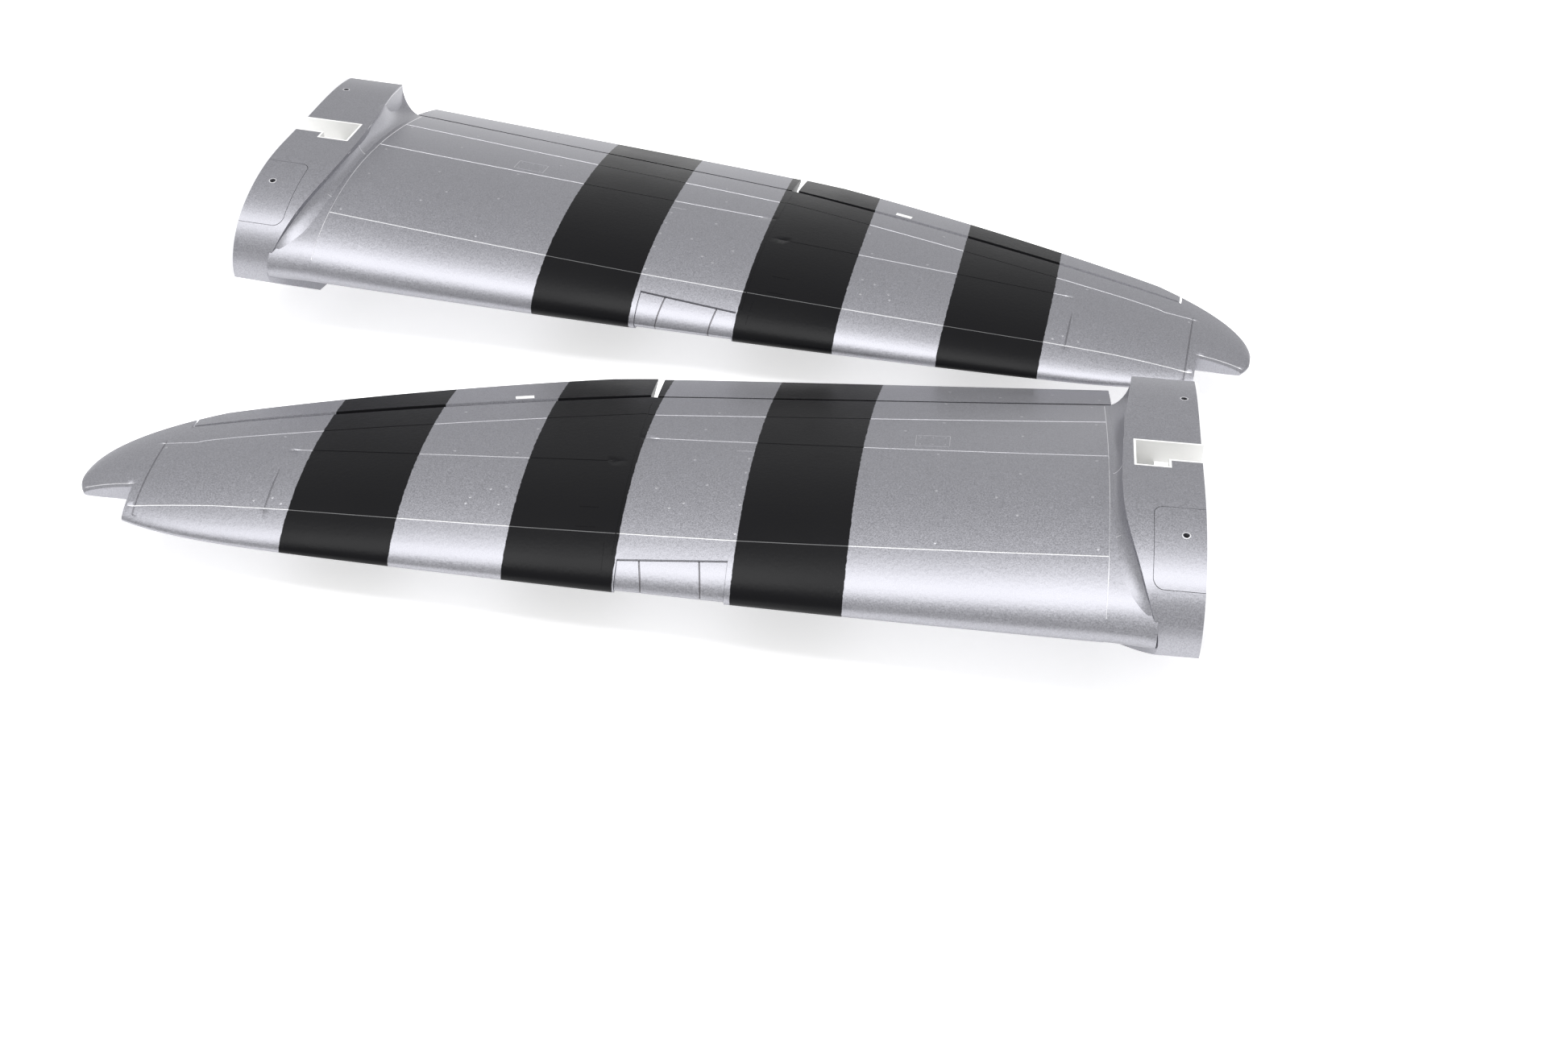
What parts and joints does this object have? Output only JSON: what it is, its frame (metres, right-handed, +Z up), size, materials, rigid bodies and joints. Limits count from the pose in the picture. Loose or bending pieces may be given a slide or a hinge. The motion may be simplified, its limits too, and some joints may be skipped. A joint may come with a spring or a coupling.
{
  "type": "model aeroplane wing panel pair",
  "caption": "Left and right moulded-foam wing panels with hinged ailerons and flaps, servo linkages, spar sockets and bolted root blocks, painted silver with black bands.",
  "frame": {"origin": "mouth of the right-hand spar socket, on the root face and on the socket's axis", "axes": "+X out of the right-hand root face along its spar socket, +Y towards the trailing edge, +Z up"},
  "size_m": [0.7973, 0.6432, 0.088],
  "materials": {
    "painted_foam": "satin",
    "pale_rib": "satin",
    "bare_white": "matte",
    "carbon_tube": "satin",
    "grey_nylon": "satin",
    "arm_nylon": "satin",
    "servo_case": "satin",
    "cover_plastic": "satin",
    "steel_wire": "polished",
    "steel_screw": "satin"
  },
  "bodies": {
    "right_panel": {"right_wing_panel": "painted_foam", "right_root_block": "painted_foam", "right_root_rib": "pale_rib", "right_root_hatch": "painted_foam", "right_spar_socket": "carbon_tube", "right_bolt_sleeves": "bare_white", "right_wire_tray": "bare_white", "right_nose_insert": "painted_foam", "right_tip_light_seat": "bare_white", "right_aileron_hinge_leaves": "grey_nylon", "right_aileron_hinge_pins": "steel_wire", "right_flap_hinge_leaves": "grey_nylon", "right_flap_hinge_pins": "steel_wire", "right_aileron_servo": "servo_case", "right_flap_servo": "servo_case", "right_aileron_servo_cover": "cover_plastic", "right_flap_servo_cover": "cover_plastic", "right_servo_cover_screws": "steel_screw"},
    "right_aileron": {"right_aileron": "painted_foam", "right_aileron_hinge_tongues": "grey_nylon", "right_aileron_horn": "grey_nylon", "right_aileron_horn_screws": "steel_screw", "right_aileron_horn_plate": "bare_white"},
    "right_flap": {"right_flap": "painted_foam", "right_flap_hinge_tongues": "grey_nylon", "right_flap_horn": "grey_nylon"},
    "right_aileron_arm": {"right_aileron_servo_arm": "arm_nylon"},
    "right_flap_arm": {"right_flap_servo_arm": "arm_nylon"},
    "right_aileron_rod": {"right_aileron_pushrod": "steel_wire"},
    "right_flap_rod": {"right_flap_pushrod": "steel_wire"},
    "left_panel": {"left_wing_panel": "painted_foam", "left_root_block": "painted_foam", "left_root_rib": "pale_rib", "left_root_hatch": "painted_foam", "left_spar_socket": "carbon_tube", "left_bolt_sleeves": "bare_white", "left_wire_tray": "bare_white", "left_nose_insert": "painted_foam", "left_tip_light_seat": "bare_white", "left_aileron_hinge_leaves": "grey_nylon", "left_aileron_hinge_pins": "steel_wire", "left_flap_hinge_leaves": "grey_nylon", "left_flap_hinge_pins": "steel_wire", "left_aileron_servo": "servo_case", "left_flap_servo": "servo_case", "left_aileron_servo_cover": "cover_plastic", "left_flap_servo_cover": "cover_plastic", "left_servo_cover_screws": "steel_screw"},
    "left_aileron": {"left_aileron": "painted_foam", "left_aileron_hinge_tongues": "grey_nylon", "left_aileron_horn": "grey_nylon", "left_aileron_horn_screws": "steel_screw", "left_aileron_horn_plate": "bare_white"},
    "left_flap": {"left_flap": "painted_foam", "left_flap_hinge_tongues": "grey_nylon", "left_flap_horn": "grey_nylon"},
    "left_aileron_arm": {"left_aileron_servo_arm": "arm_nylon"},
    "left_flap_arm": {"left_flap_servo_arm": "arm_nylon"},
    "left_aileron_rod": {"left_aileron_pushrod": "steel_wire"},
    "left_flap_rod": {"left_flap_pushrod": "steel_wire"}
  },
  "joints": [
    {"name": "left_panel_lift", "type": "slide", "parent": "right_panel", "child": "left_panel", "axis": [0, 0, 1], "range_m": [0, 0.2]},
    {"name": "right_aileron_hinge", "type": "hinge", "parent": "right_panel", "child": "right_aileron", "pos_m": [-0.46695, 0.11168, -0.02146], "axis": [-0.9767, -0.2139, -0.0169], "range_deg": [-22, 22]},
    {"name": "right_aileron_arm_turn", "type": "hinge", "parent": "right_panel", "child": "right_aileron_arm", "pos_m": [-0.4516, 0.04133, -0.01844], "axis": [-0.9767, -0.2139, -0.0169], "range_deg": [-22, 22]},
    {"name": "right_aileron_rod_pivot", "type": "hinge", "parent": "right_aileron_arm", "child": "right_aileron_rod", "pos_m": [-0.45137, 0.04138, -0.03244], "axis": [-0.9767, -0.2139, -0.0169], "range_deg": [-22, 22]},
    {"name": "right_flap_hinge", "type": "hinge", "parent": "right_panel", "child": "right_flap", "pos_m": [-0.21447, 0.14367, -0.02247], "axis": [-0.9967, -0.0812, -0.0081], "range_deg": [0, 40]},
    {"name": "right_flap_arm_turn", "type": "hinge", "parent": "right_panel", "child": "right_flap_arm", "pos_m": [-0.20853, 0.0699, -0.01417], "axis": [-0.9967, -0.0812, -0.0081], "range_deg": [0, 40]},
    {"name": "right_flap_rod_pivot", "type": "hinge", "parent": "right_flap_arm", "child": "right_flap_rod", "pos_m": [-0.20841, 0.06991, -0.02817], "axis": [-0.9967, -0.0812, -0.0081], "range_deg": [-40, 0]},
    {"name": "left_aileron_hinge", "type": "hinge", "parent": "left_panel", "child": "left_aileron", "pos_m": [-0.22157, 0.39804, -0.02146], "axis": [-0.9479, 0.3181, 0.0169], "range_deg": [-22, 22]},
    {"name": "left_aileron_arm_turn", "type": "hinge", "parent": "left_panel", "child": "left_aileron_arm", "pos_m": [-0.24443, 0.32977, -0.01844], "axis": [-0.9479, 0.3181, 0.0169], "range_deg": [-22, 22]},
    {"name": "left_aileron_rod_pivot", "type": "hinge", "parent": "left_aileron_arm", "child": "left_aileron_rod", "pos_m": [-0.24465, 0.32984, -0.03244], "axis": [-0.9479, 0.3181, 0.0169], "range_deg": [-22, 22]},
    {"name": "left_flap_hinge", "type": "hinge", "parent": "left_panel", "child": "left_flap", "pos_m": [-0.46911, 0.45711, -0.02247], "axis": [-0.9821, 0.1884, 0.0081], "range_deg": [0, 40]},
    {"name": "left_flap_arm_turn", "type": "hinge", "parent": "left_panel", "child": "left_flap_arm", "pos_m": [-0.48299, 0.38442, -0.01417], "axis": [-0.9821, 0.1884, 0.0081], "range_deg": [0, 40]},
    {"name": "left_flap_rod_pivot", "type": "hinge", "parent": "left_flap_arm", "child": "left_flap_rod", "pos_m": [-0.4831, 0.38445, -0.02817], "axis": [-0.9821, 0.1884, 0.0081], "range_deg": [-40, 0]}
  ],
  "couplings": [
    {"joint": "right_aileron_arm_turn", "follows": "right_aileron_hinge", "ratio": 1},
    {"joint": "right_aileron_rod_pivot", "follows": "right_aileron_hinge", "ratio": -1},
    {"joint": "right_flap_arm_turn", "follows": "right_flap_hinge", "ratio": 1},
    {"joint": "right_flap_rod_pivot", "follows": "right_flap_hinge", "ratio": -1},
    {"joint": "left_aileron_arm_turn", "follows": "left_aileron_hinge", "ratio": 1},
    {"joint": "left_aileron_rod_pivot", "follows": "left_aileron_hinge", "ratio": -1},
    {"joint": "left_flap_arm_turn", "follows": "left_flap_hinge", "ratio": 1},
    {"joint": "left_flap_rod_pivot", "follows": "left_flap_hinge", "ratio": -1}
  ]
}
